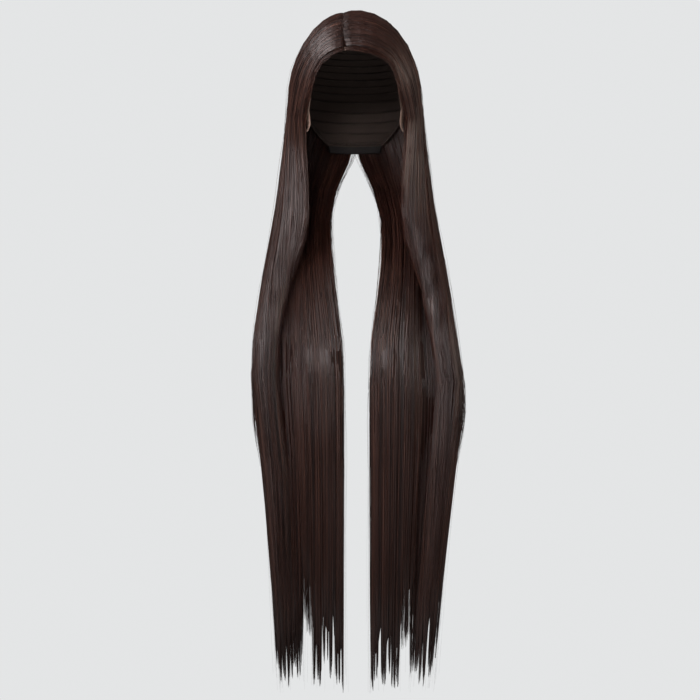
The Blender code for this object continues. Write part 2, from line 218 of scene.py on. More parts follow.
class Section:
    """Where the hair of one section runs: across from its front edge to its rear, place from root to tip."""

    ACROSS_STEPS = 48
    PLACE_STEPS = 144
    EASED_ROWS = (2.6, 3.8, 7.5, 9.0)  # from the temple to the bust
    EASED_STEPS = 7
    SETTLED_ROWS = (6.8, 9.0)  # from the collar to the bust
    SETTLED_REACH = 0.28  # share of the front section that settles
    SETTLED_CLEAR = 0.0020
    EDGE_BODY = 0.12  # square of the share of the thickness that is left at a section's very edges
    THINNEST = 0.0005

    def __init__(self, side, kind):
        self.side, self.kind = side, kind
        self.crown = FRONT_CROWN if kind == "front" else BACK_CROWN
        self.fall = FRONT_FALL if kind == "front" else BACK_FALL
        self.roots = FRONT_ROOTS if kind == "front" else BACK_ROOTS
        self.trims = LOCK_TRIMS[kind, side]
        self.lift = CAP_WALL + HAIR_LIFT + (SEAM_GAP + LACE_WALL if kind == "front" else 0.0)
        self.leaves = len(self.crown)
        self.last = self.leaves + len(self.fall)
        self.places = np.linspace(0, self.last, self.PLACE_STEPS + 1)
        self.shares = np.linspace(0, 1, self.ACROSS_STEPS + 1)
        self.name = f"{kind}_hair_{'left' if side < 0 else 'right'}"
        self.tabulate()

    def crown_edge(self, index):
        if self.kind == "front":
            return towards(*self.crown[index].edge)
        down, turn = FRONT_CROWN[index].rear
        return towards(down, turn + math.degrees(SECTION_GAP / HEAD_HALF_WIDTH))

    def fall_edge(self, index):
        if self.kind == "front":
            return np.array(self.fall[index].edge)
        out, ahead = FRONT_FALL[index].rear
        return np.array((out, ahead - SECTION_GAP / CHEST_REACH))

    def column(self, across):
        """Points of the inner face along one column, from root to tip."""
        roots = [root_direction(self.side, forward) for forward in self.roots]
        directions = [through_three(*roots, across)]
        for index, row in enumerate(self.crown):
            middle, rear = towards(*row.middle), towards(*row.rear)
            directions.append(through_three(self.crown_edge(index), middle, rear, across))
        directions = [direction / np.linalg.norm(direction) for direction in directions]
        points = [on_head(direction, self.lift) for direction in directions]
        for index, row in enumerate(self.fall):
            middle, rear = np.array(row.middle), np.array(row.rear)
            out, ahead = through_three(self.fall_edge(index), middle, rear, across)
            free = 1.0 if self.kind == "front" else 1.0 - across
            x = out * HAIR_HALF_SPREAD + self.side * free * float(np.interp(row.drop, LEAN_DROP, LEAN))
            if self.side > 0 and self.kind == "back" and row.drop >= INNER_SHIFT_FROM:
                x += RIGHT_INNER_SHIFT * across
            points.append(np.array((x, -ahead * CHEST_REACH, -row.drop * HAIR_DROP)))
        column = []
        for place in self.places:
            if place <= self.leaves:
                column.append(on_head(along(directions, place), self.lift))
            else:
                column.append(along(points, place))
        return np.array(column) * (self.side, 1.0, 1.0)

    def tabulate(self):
        """Fills the grid: inner point, outward normal and thickness, for every share across and place."""
        shares = self.shares
        inner = self.eased(np.array([self.column(share) for share in shares]))
        bodies = [ROOT_VOLUME]
        bodies += [row.body * CROWN_VOLUME for row in self.crown]
        bodies += [row.body * CURTAIN_VOLUME for row in self.fall]
        body = np.interp(self.places, range(len(bodies)), bodies)
        count = len(self.trims)
        ridge = np.abs(np.sin(math.pi * count * shares))
        roundness = np.sqrt(np.minimum(np.minimum(shares, 1 - shares) * count + self.EDGE_BODY, 1.0))
        thick = body[None, :] * ((1 - LOCK_SWELL * (1 - ridge)) * roundness)[:, None]
        self.grid = np.concatenate((inner, self.outward(inner), thick[:, :, None]), axis=2)

    def eased(self, inner):
        """Evens out the turn where the hair leaves the head."""
        reach = self.EASED_STEPS
        padded = np.pad(inner, ((0, 0), (reach, reach), (0, 0)), mode="edge")
        last = inner.shape[1]
        even = np.mean([padded[:, shift:shift + last] for shift in range(2 * reach + 1)], axis=0)
        share = np.interp(self.places, self.EASED_ROWS, (0, 1, 1, 0))[None, :, None]
        return inner + (even - inner) * share

    def outward(self, inner):
        """Normals of the inner face, away from the head."""
        across = np.cross(np.gradient(inner, axis=1), np.gradient(inner, axis=0)) * self.side
        return across / np.linalg.norm(across, axis=2, keepdims=True)

    def settle_on(self, behind):
        """Below the collar, lays the front hair's inner edge down onto the hair behind it."""
        settled = np.interp(self.places, self.SETTLED_ROWS, (0, 1))
        reach = np.exp(-((self.shares / self.SETTLED_REACH) ** 2))
        mine, under = self.outer_face()[0], behind.outer_face()
        for index in np.flatnonzero(settled > 0):
            order = np.argsort(np.abs(under[:, index, 0]))
            out, ahead = np.abs(under[order, index, 0]), under[order, index, 1]
            surface = np.interp(abs(mine[index, 0]), out, ahead)
            gap = max(surface - mine[index, 1] - self.SETTLED_CLEAR, 0)
            self.grid[:, index, 1] += settled[index] * reach * gap
        self.grid[..., 3:6] = self.outward(self.grid[..., :3])

    def outer_face(self):
        return self.grid[..., :3] + self.grid[..., 3:6] * self.grid[..., 6:7]

    def read(self, across, place):
        """Inner point, outward normal and thickness at arrays of places, past the edges too."""
        column = across * self.ACROSS_STEPS
        row = place / self.last * self.PLACE_STEPS
        near = np.clip(column.astype(int), 0, self.ACROSS_STEPS - 1)
        above = np.clip(row.astype(int), 0, self.PLACE_STEPS - 1)
        aside, down = (column - near)[..., None], (row - above)[..., None]
        grid = self.grid
        low = grid[near, above] * (1 - down) + grid[near, above + 1] * down
        high = grid[near + 1, above] * (1 - down) + grid[near + 1, above + 1] * down
        value = low * (1 - aside) + high * aside
        normal = value[..., 3:6] / np.linalg.norm(value[..., 3:6], axis=-1, keepdims=True)
        return value[..., :3], normal, np.maximum(value[..., 6], self.THINNEST)

    def end(self, across, length_short):
        """Place where a hair ends that is shorter than HAIR_DROP by length_short."""
        reach = (self.fall[-1].drop - self.fall[-2].drop) * HAIR_DROP
        before = (self.fall[-2].drop - self.fall[-3].drop) * HAIR_DROP
        over = np.maximum(length_short - reach, 0.0)
        return self.last - np.minimum(length_short, reach) / reach - over / before


SECTIONS = [Section(side, kind) for side in (-1, 1) for kind in ("front", "back")]
# On each side the front hair settles on the back hair.
for front_hair, back_hair in zip(SECTIONS[::2], SECTIONS[1::2]):
    front_hair.settle_on(back_hair)


def make_object(name, mesh, material, nodes):
    piece = bpy.data.objects.new(name, mesh)
    bpy.context.scene.collection.objects.link(piece)
    dress(piece, material, nodes)


def dress(piece, material, nodes):
    piece.data.materials.clear()
    piece.data.materials.append(material)
    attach(piece, BODY)
    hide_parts(*nodes)


# Down the map: the sides of a tube, and its two end caps above and below them.
TUBE_TOP, TUBE_BOTTOM = 0.01, 0.99
END_CAP_MIDDLE, END_CAP_HALF, END_CAPS_APART = 0.004, 0.003, 0.988


def tube_mesh(name, paths, normals, radii, sides, columns, widths):
    """One mesh of many closed tubes. paths is hairs x points x 3, and each tube's map is a narrow
    upright strip at its own column, so that a pattern runs along the hair."""
    hairs, points, _ = paths.shape
    tangent = np.gradient(paths, axis=1)
    tangent /= np.maximum(np.linalg.norm(tangent, axis=2, keepdims=True), 1e-9)
    normal = normals - tangent * np.sum(normals * tangent, axis=2, keepdims=True)
    normal /= np.maximum(np.linalg.norm(normal, axis=2, keepdims=True), 1e-9)
    binormal = np.cross(tangent, normal)
    angles = np.arange(sides) * 2 * math.pi / sides
    ring = (
        normal[:, :, None, :] * np.cos(angles)[None, None, :, None]
        + binormal[:, :, None, :] * np.sin(angles)[None, None, :, None]
    )
    vertices = paths[:, :, None, :] + ring * radii[:, :, None, None]
    count = hairs * points * sides

    index = np.arange(count).reshape(hairs, points, sides)
    after = np.roll(index, -1, axis=2)
    quads = np.stack((index[:, :-1], after[:, :-1], after[:, 1:], index[:, 1:]), axis=-1).reshape(-1, 4)
    caps = np.concatenate((index[:, 0, ::-1], index[:, -1]), axis=0)

    drop = np.linspace(TUBE_TOP, TUBE_BOTTOM, points)
    side = np.arange(sides)
    left = columns[:, None, None] + widths[:, None, None] * side[None, None, :] / sides
    left = np.broadcast_to(left, (hairs, points - 1, sides))
    right = left + widths[:, None, None] / sides
    top = np.broadcast_to(drop[None, :-1, None], left.shape)
    bottom = np.broadcast_to(drop[None, 1:, None], left.shape)
    quad_map = np.stack(
        (np.stack((left, top), -1), np.stack((right, top), -1),
         np.stack((right, bottom), -1), np.stack((left, bottom), -1)), axis=-2
    ).reshape(-1, 2)
    cap_u = columns[:, None] + widths[:, None] * (0.5 + 0.5 * np.cos(angles))[None, :]
    cap_v = END_CAP_MIDDLE + END_CAP_HALF * np.sin(angles)
    roots = np.stack((cap_u, np.broadcast_to(cap_v, cap_u.shape)), -1)
    cap_map = np.concatenate((roots, roots + (0.0, END_CAPS_APART)), axis=0).reshape(-1, 2)

    mesh = bpy.data.meshes.new(name)
    mesh.vertices.add(count)
    mesh.vertices.foreach_set("co", vertices.astype(np.float32).ravel())
    loops = np.concatenate((quads.ravel(), caps.ravel())).astype(np.int32)
    starts = np.concatenate((np.arange(len(quads)) * 4, len(quads) * 4 + np.arange(len(caps)) * sides))
    mesh.loops.add(len(loops))
    mesh.loops.foreach_set("vertex_index", loops)
    mesh.polygons.add(len(starts))
    mesh.polygons.foreach_set("loop_start", starts.astype(np.int32))
    layer = mesh.uv_layers.new(name=MAP)
    layer.uv.foreach_set("vector", np.concatenate((quad_map, cap_map)).astype(np.float32).ravel())
    mesh.update(calc_edges=True)
    mesh.validate()
    mesh.shade_smooth()
    return mesh


WANDER_SIZE = 0.7
HAIR_SIDES = 3
STRAND_STRIP, STRAY_STRIP = 0.006, 0.004  # widths of a hair's strip of the map


def smooth_wander(rng, hairs, shares, waves):
    """A slow random curve for each hair, about -1 to 1, zero at the root."""
    phase = rng.uniform(0, 2 * math.pi, (hairs, len(waves)))
    size = rng.normal(0, 1, (hairs, len(waves))) / np.sqrt(len(waves))
    angle = shares[..., None] * np.array(waves) * 2 * math.pi + phase[:, None, :]
    value = (np.sin(angle) * size[:, None, :]).sum(-1)
    return (value - value[:, :1]) * WANDER_SIZE


# How far down its fall each point of a hair lies: closer together round the bust and at the tip.
FALL_SHARE = (0.0, 0.112, 0.219, 0.312, 0.394, 0.469, 0.544, 0.625, 0.725, 0.85, 0.95, 1.0)


def hair_places(section, start, end, crown_points, fall_points):
    """Places of the points of each hair, denser over the round crown and round the bust."""
    steps = np.linspace(0, 1, crown_points + fall_points)
    over = np.clip(section.leaves - start, 0, None) / np.maximum(end - start, 1e-6)
    knee = crown_points / (crown_points + fall_points - 1)
    first = np.clip(steps[None, :] / knee, 0, 1) ** 1.5 * over[:, None]
    below = np.clip((steps[None, :] - knee) / (1 - knee), 0, 1)
    second = np.interp(below, np.linspace(0, 1, len(FALL_SHARE)), FALL_SHARE) * (1 - over[:, None])
    share = np.where(over[:, None] > 0.02, first + second, steps[None, :])
    return start[:, None] + (end - start)[:, None] * share


# Shared effects.

def new_group(name, inputs, outputs):
    """A shader node group with named sockets, and its two end nodes."""
    group = bpy.data.node_groups.new(name, "ShaderNodeTree")
    for label, kind, value in inputs:
        socket = group.interface.new_socket(name=label, in_out="INPUT", socket_type=kind)
        if value is not None:
            socket.default_value = value
    for label, kind in outputs:
        group.interface.new_socket(name=label, in_out="OUTPUT", socket_type=kind)
    return group, group.nodes.new("NodeGroupInput"), group.nodes.new("NodeGroupOutput")


def add_node(tree, kind, settings=None, values=None, sources=None):
    """A shader node with its settings, its input values and the sockets that feed its inputs."""
    node = tree.nodes.new(kind)
    for label, value in (settings or {}).items():
        setattr(node, label, value)
    for label, value in (values or {}).items():
        node.inputs[label].default_value = value
    for label, source in (sources or {}).items():
        tree.links.new(source, node.inputs[label])
    return node


def stretched_noise(tree, vector, across, down, detail):
    """Noise drawn out along the hair: so many streaks across the map and so many down it."""
    scale = {"Scale": (across, down, 1.0)}
    mapping = add_node(tree, "ShaderNodeMapping", values=scale, sources={"Vector": vector})
    noise = add_node(tree, "ShaderNodeTexNoise", values={"Scale": 1.0, "Detail": detail},
                     sources={"Vector": mapping.outputs["Vector"]})
    return noise.outputs["Fac"]


def remap(tree, value, low, high, to_low, to_high):
    ends = {"From Min": low, "From Max": high, "To Min": to_low, "To Max": to_high}
    return add_node(tree, "ShaderNodeMapRange", values=ends, sources={"Value": value}).outputs["Result"]


def calculate(tree, operation, first, second):
    """A sum with two sockets, the first of which may also be a number."""
    node = add_node(tree, "ShaderNodeMath", {"operation": operation}, sources={1: second})
    if isinstance(first, float):
        node.inputs[0].default_value = first
    else:
        tree.links.new(first, node.inputs[0])
    return node.outputs[0]


# Numbers of the sockets of a mix node when it mixes colours.
MIX_SHARE, MIX_FIRST, MIX_SECOND, MIX_RESULT = 0, 6, 7, 2


def mix_colour(tree, share, first, second):
    """Mix of two colours, each a socket, with a socket as its share."""
    node = add_node(tree, "ShaderNodeMix", {"data_type": "RGBA"},
                    sources={MIX_SHARE: share, MIX_FIRST: first, MIX_SECOND: second})
    return node.outputs[MIX_RESULT]


# Noise of the hair: streaks across the map, streaks down it and detail.
LOCK_STREAKS = (60.0, 1.6, 1.0)
FINE_STREAKS = (200.0, 4.0, 2.0)
BROWN_NOISE = (0.38, 0.60)  # between these the locks turn from dark to brown
LIGHT_NOISE = (0.50, 0.70)  # between these the fine streaks turn light
ROOT_REACH = 0.12  # share of a hair that gets painted shade at its root
ENDS_FROM, ENDS_SHADE = 0.55, 0.62  # from here down a hair darkens to this share of its tone: painted shade for the lower hair that gets less light
ROUGH_NOISE, ROUGHNESS = (0.3, 0.7), (0.30, 0.40)


def streak_group():
    """Colour, roughness and height of hair: broad locks of tone, fine streaks, and painted shade that darkens
    the roots and ends.
    """
    group, start, end = new_group(
        "hair_streaks",
        (("Vector", "NodeSocketVector", None),
         ("Dark", "NodeSocketColor", (0.01, 0.006, 0.005, 1)),
         ("Brown", "NodeSocketColor", (0.03, 0.018, 0.014, 1)),
         ("Light", "NodeSocketColor", (0.07, 0.04, 0.03, 1)),
         ("Root Shade", "NodeSocketFloat", 0.6)),
        (("Colour", "NodeSocketColor"), ("Roughness", "NodeSocketFloat"), ("Height", "NodeSocketFloat")),
    )
    given = start.outputs
    lock = stretched_noise(group, given["Vector"], *LOCK_STREAKS)
    fine = stretched_noise(group, given["Vector"], *FINE_STREAKS)
    brown_share = remap(group, lock, *BROWN_NOISE, 0, 1)
    brown = mix_colour(group, brown_share, given["Dark"], given["Brown"])
    lit = mix_colour(group, remap(group, fine, *LIGHT_NOISE, 0, 1), brown, given["Light"])
    split = add_node(group, "ShaderNodeSeparateXYZ", sources={"Vector": given["Vector"]})
    down = split.outputs["Y"]
    # painted shade: darker at the root and from ENDS_FROM down to the tip
    shade = add_node(group, "ShaderNodeMapRange", values={"From Max": ROOT_REACH, "To Max": 1.0},
                     sources={"Value": down, "To Min": given["Root Shade"]})
    ends = remap(group, down, ENDS_FROM, 1.0, 1.0, ENDS_SHADE)
    shaded = calculate(group, "MULTIPLY", shade.outputs["Result"], ends)
    tone = add_node(group, "ShaderNodeMix", {"data_type": "RGBA", "blend_type": "MULTIPLY"},
                    {MIX_SHARE: 1.0}, {MIX_FIRST: lit, MIX_SECOND: shaded})
    group.links.new(tone.outputs[MIX_RESULT], end.inputs["Colour"])
    group.links.new(remap(group, lock, *ROUGH_NOISE, *ROUGHNESS), end.inputs["Roughness"])
    group.links.new(fine, end.inputs["Height"])
    return group


def mesh_group():
    """Threads of a fine net on a vector counted in cells: two crossing rows of threads and their mask."""
    group, start, end = new_group(
        "net_threads",
        (("Vector", "NodeSocketVector", None), ("Thread", "NodeSocketFloat", 0.3)),
        (("Mask", "NodeSocketFloat"), ("Height", "NodeSocketFloat")),
    )
    one_band_to_a_cell = math.pi / 10
    heights = []
    for turn in (math.radians(45), math.radians(-45)):
        mapping = add_node(group, "ShaderNodeMapping", values={"Rotation": (0.0, 0.0, turn)},
                           sources={"Vector": start.outputs["Vector"]})
        wave = add_node(group, "ShaderNodeTexWave", {"wave_profile": "TRI"}, {"Scale": one_band_to_a_cell},
                        {"Vector": mapping.outputs["Vector"]})
        heights.append(wave.outputs["Fac"])
    most = calculate(group, "MAXIMUM", *heights)
    edge = calculate(group, "SUBTRACT", 1.0, start.outputs["Thread"])
    group.links.new(calculate(group, "GREATER_THAN", most, edge), end.inputs["Mask"])
    group.links.new(most, end.inputs["Height"])
    return group


def new_material(name, colour, roughness):
    material = bpy.data.materials.new(name)
    material.use_nodes = True
    material.diffuse_color = (*colour[:3], 1.0)
    tree = material.node_tree
    shader = tree.nodes["Principled BSDF"]
    shader.inputs["Base Color"].default_value = (*colour[:3], 1.0)
    shader.inputs["Roughness"].default_value = roughness
    return material, tree, shader


def add_bump(tree, shader, height, strength, distance):
    bump = add_node(tree, "ShaderNodeBump", values={"Strength": strength, "Distance": distance},
                    sources={"Height": height})
    tree.links.new(bump.outputs["Normal"], shader.inputs["Normal"])


def map_vector(tree):
    return add_node(tree, "ShaderNodeUVMap", {"uv_map": MAP}).outputs["UV"]


HAIR_ROUGHNESS = 0.42  # without the streaks, as in the solid view
HAIR_BUMP = (0.25, 0.0003)  # strength and distance


def add_streaks(tree, shader, tones, bump):
    """Feeds the streaks in the dark, brown and light tone, with their painted shade at roots and ends, to the
    shader's colour and normal.
    """
    shared = bpy.data.node_groups.get("hair_streaks") or streak_group()
    group = add_node(tree, "ShaderNodeGroup", {"node_tree": shared}, sources={"Vector": map_vector(tree)})
    for label, tone in zip(("Dark", "Brown", "Light"), tones):
        group.inputs[label].default_value = (*tone, 1.0)
    tree.links.new(group.outputs["Colour"], shader.inputs["Base Color"])
    add_bump(tree, shader, group.outputs["Height"], *bump)
    return group


def hair_material(name, settings, root_shade, lighter=1.0, gloss=0.30):
    material, tree, shader = new_material(name, settings.brown, HAIR_ROUGHNESS)
    tones = [[part * lighter for part in tone] for tone in (settings.dark, settings.brown, settings.light)]
    group = add_streaks(tree, shader, tones, HAIR_BUMP)
    group.inputs["Root Shade"].default_value = root_shade
    tree.links.new(group.outputs["Roughness"], shader.inputs["Roughness"])
    shader.inputs["Specular IOR Level"].default_value = gloss
    return material


HOLE_SHADE = 0.45  # tone of a net's holes as a share of its threads'
NET_BUMP_DISTANCE = 0.0002


def net_material(name, colour, thread, alphas, roughness, strength, count):
    """Threads of a net with count = cells along and down the map, and alphas of its holes and threads."""
    material, tree, shader = new_material(name, colour, roughness)
    mapping = add_node(tree, "ShaderNodeMapping", values={"Scale": (*count, 1.0)},
                       sources={"Vector": map_vector(tree)})
    shared = bpy.data.node_groups.get("net_threads") or mesh_group()
    group = add_node(tree, "ShaderNodeGroup", {"node_tree": shared}, {"Thread": thread},
                     {"Vector": mapping.outputs["Vector"]})
    tones = {MIX_FIRST: (*(part * HOLE_SHADE for part in colour[:3]), 1.0), MIX_SECOND: (*colour[:3], 1.0)}
    mixed = add_node(tree, "ShaderNodeMix", {"data_type": "RGBA"}, tones, {MIX_SHARE: group.outputs["Mask"]})
    tree.links.new(mixed.outputs[MIX_RESULT], shader.inputs["Base Color"])
    if alphas[0] < 1.0:
        alpha = remap(tree, group.outputs["Mask"], 0.0, 1.0, *alphas)
        tree.links.new(alpha, shader.inputs["Alpha"])
    add_bump(tree, shader, group.outputs["Height"], strength, NET_BUMP_DISTANCE)
    return material


# Sizes and colours that a user may change.

class WigHairSettings(bpy.types.PropertyGroup):
    strands: bpy.props.IntProperty(
        name="Strands", description="Strands in each of the four sections", default=1350, min=100)
    strand_width: bpy.props.FloatProperty(
        name="Strand width", description="Width of a strand at its middle", default=0.00125, unit="LENGTH")
    strays: bpy.props.IntProperty(
        name="Stray hairs", description="Loose hairs over each section", default=120, min=0)
    stray_width: bpy.props.FloatProperty(
        name="Stray width", description="Width of a loose hair", default=0.00034, unit="LENGTH")
    dark: bpy.props.FloatVectorProperty(
        name="Dark", description="Darkest tone of the hair", subtype="COLOR", size=3,
        default=(0.0110, 0.0037, 0.0026))
    brown: bpy.props.FloatVectorProperty(
        name="Brown", description="Main tone of the hair", subtype="COLOR", size=3,
        default=(0.0360, 0.0124, 0.0080))
    light: bpy.props.FloatVectorProperty(
        name="Light", description="Tone of the lightest streaks", subtype="COLOR", size=3,
        default=(0.0950, 0.0400, 0.0270))


class WigCapSettings(bpy.types.PropertyGroup):
    weft_spacing: bpy.props.FloatProperty(
        name="Weft spacing", description="Distance between the sewn rows of hair", default=0.0105,
        unit="LENGTH")
    weft_height: bpy.props.FloatProperty(
        name="Weft height", description="Height of a sewn row", default=0.0022, unit="LENGTH")
    net_colour: bpy.props.FloatVectorProperty(
        name="Net", description="Colour of the net", subtype="COLOR", size=3,
        default=(0.065, 0.045, 0.036))
    lace_colour: bpy.props.FloatVectorProperty(
        name="Lace", description="Colour of the lace", subtype="COLOR", size=3,
        default=(0.44, 0.31, 0.25))
    band_colour: bpy.props.FloatVectorProperty(
        name="Band", description="Colour of the elastic", subtype="COLOR", size=3,
        default=(0.012, 0.010, 0.010))


class WigStageSettings(bpy.types.PropertyGroup):
    camera_distance: bpy.props.FloatProperty(
        name="Camera distance", description="From the camera to the head's middle", default=3.0,
        unit="LENGTH")
    frame_width: bpy.props.FloatProperty(
        name="Frame width", description="Width of the picture at the head's middle", default=1.015,
        unit="LENGTH")
    camera_height: bpy.props.FloatProperty(
        name="Camera height", description="Height of the level camera", default=-0.4785, unit="LENGTH")
    camera_across: bpy.props.FloatProperty(
        name="Camera across", description="Camera to the side of the middle", default=-0.00725, unit="LENGTH")
    backdrop: bpy.props.FloatVectorProperty(
        name="Backdrop", description="Colour behind the wig", subtype="COLOR", size=3,
        default=(0.775, 0.785, 0.79))
    key_power: bpy.props.FloatProperty(
        name="Key light", description="Power of the window light from the left", default=44.0)
    fill_power: bpy.props.FloatProperty(
        name="Fill light", description="Power of the light from the right", default=1.0)
    top_power: bpy.props.FloatProperty(
        name="Top light", description="Power of the narrow light on the crown", default=0.9)
    back_power: bpy.props.FloatProperty(
        name="Back light", description="Power of the soft light from behind", default=30.0)
    band_power: bpy.props.FloatProperty(
        name="Band light", description="Power of the narrow light on the chest", default=1.3)


def select_only(piece):
    bpy.ops.object.select_all(action="DESELECT")
    piece.select_set(True)
    bpy.context.view_layer.objects.active = piece


def add_grid(name, rows, columns):
    """A flat grid with rows along X and columns along Y, one unit wide and centred."""
    bpy.ops.object.select_all(action="DESELECT")
    bpy.ops.mesh.primitive_grid_add(x_subdivisions=rows - 1, y_subdivisions=columns - 1, size=1.0)
    piece = bpy.context.object
    piece.name = piece.data.name = name
    return piece


def add_wall(piece, thickness, group=""):
    """Gives the selected sheet an outer face, and a new map in place of the one it came with."""
    shell = piece.modifiers.new("wall", "SOLIDIFY")
    shell.thickness = thickness
    shell.offset = 1.0
    shell.vertex_group = group
    bpy.ops.object.modifier_apply(modifier=shell.name)
    layers = piece.data.uv_layers
    while layers:
        layers.remove(layers[0])
    return layers.new(name=MAP)


def bend_grid(piece, rows, columns, shape, wall, mirrored, map_of):
    """Bends the grid to shape(down, across), gives it a wall and maps both of its faces."""
    sharp = math.radians(50)
    mesh = piece.data
    shares = []
    weights = []
    for vertex in mesh.vertices:
        down = round((vertex.co.x + 0.5) * (rows - 1)) / (rows - 1)
        across = round((vertex.co.y + 0.5) * (columns - 1)) / (columns - 1)
        shares.append((down, across))
        point, weight = shape(down, across)
        vertex.co = point
        weights.append(weight)
    group = piece.vertex_groups.new(name="wall")
    for index, weight in enumerate(weights):
        group.add([index], float(weight), "REPLACE")
    select_only(piece)
    if mirrored:
        bpy.ops.object.mode_set(mode="EDIT")
        bpy.ops.mesh.select_all(action="SELECT")
        bpy.ops.mesh.flip_normals()
        bpy.ops.object.mode_set(mode="OBJECT")
    layer = add_wall(piece, wall, "wall")
    first = len(shares)
    spots = [map_of(*shares[loop.vertex_index % first], loop.vertex_index >= first) for loop in mesh.loops]
    layer.uv.foreach_set("vector", np.array(spots, dtype=np.float32).ravel())
    piece.vertex_groups.clear()
    mesh.shade_smooth()
    bpy.ops.object.shade_smooth_by_angle(angle=sharp)


def cells(pitch, length, height):
    """How many cells of a net lie along a piece and down it."""
    return length / pitch, height / pitch


def flat_map(down, across, outer, margin=0.005, size=0.975):
    """Place on the map: along the piece to the right and down it, the outer face a little aside."""
    aside = 0.01 * outer
    return margin + size * across + aside, margin + size * down + aside


def body_map(down, across, outer):
    return flat_map(down, across, outer, 0.01, 0.96)


class WIG_OT_hair_bodies(bpy.types.Operator):
    """Adds the dense middle of each section of hair, which the strands cover"""

    bl_idname = "wig.hair_bodies"
    bl_label = "Hair Bodies"

    LOW, HIGH = 0.14, 0.43  # share of the thickness that the body fills
    ROWS, COLUMNS = 90, 49
    SHORT, CLEFT = 0.070, 0.035  # it ends this far above a lock's tip, and further between two locks
    UNEVEN = 1.6  # rows of the table over which the locks come apart
    THINS_OVER, THINNEST_TIP = 0.5, 0.04
    WIDTH, INSET = 0.97, 0.015  # how much of the section it spans, and where it starts
    FIRST_PLACE = 0.02
    ROOT_BODY, BODY_RISE, RISES_OVER = 0.4, 0.6, 0.8  # it is thinner at the roots
    TIP_LIFT = 0.25  # how far its thin end rises into the strands

    def execute(self, context):
        # The dense middle takes the hair's tones at 0.6: painted shade of the inside of the hair, under the
        # strands.
        material = hair_material("dense_hair", context.scene.wig_hair, 0.6, lighter=0.6, gloss=0.25)
        for section in SECTIONS:
            shares = np.linspace(0, 1, self.COLUMNS) * self.WIDTH + self.INSET
            count = len(section.trims)
            lock = np.clip((shares * count).astype(int), 0, count - 1)
            inside = np.abs(2 * (shares * count - lock) - 1)
            short = np.array(section.trims)[lock] * HAIR_DROP + self.SHORT + self.CLEFT * inside**2
            end = section.end(shares, short)
            level = float(end.min()) - self.UNEVEN
            rows = np.linspace(self.FIRST_PLACE, level + self.UNEVEN, self.ROWS)[:, None]
            places = np.minimum(rows, level) + np.maximum(rows - level, 0) / self.UNEVEN * (end - level)
            inner, normal, thick = section.read(np.broadcast_to(shares, places.shape), places)
            tip = np.clip((end - places) / self.THINS_OVER, self.THINNEST_TIP, 1.0) ** 0.6
            rise = self.ROOT_BODY + self.BODY_RISE * np.clip(places / self.RISES_OVER, 0, 1)
            weight = thick * rise * (self.HIGH - self.LOW) * tip / CURTAIN_VOLUME
            cage = inner + normal * (thick * (self.LOW + self.TIP_LIFT * (1 - tip)))[..., None]

            def shape(down, across, cage=cage, weight=weight):
                row, column = round(down * (self.ROWS - 1)), round(across * (self.COLUMNS - 1))
                return cage[row, column], weight[row, column]

            piece = add_grid(section.name.replace("hair", "hair_body"), self.ROWS, self.COLUMNS)
            bend_grid(piece, self.ROWS, self.COLUMNS, shape, CURTAIN_VOLUME, section.side < 0, body_map)
            dress(piece, material, [section.name])
        return {"FINISHED"}


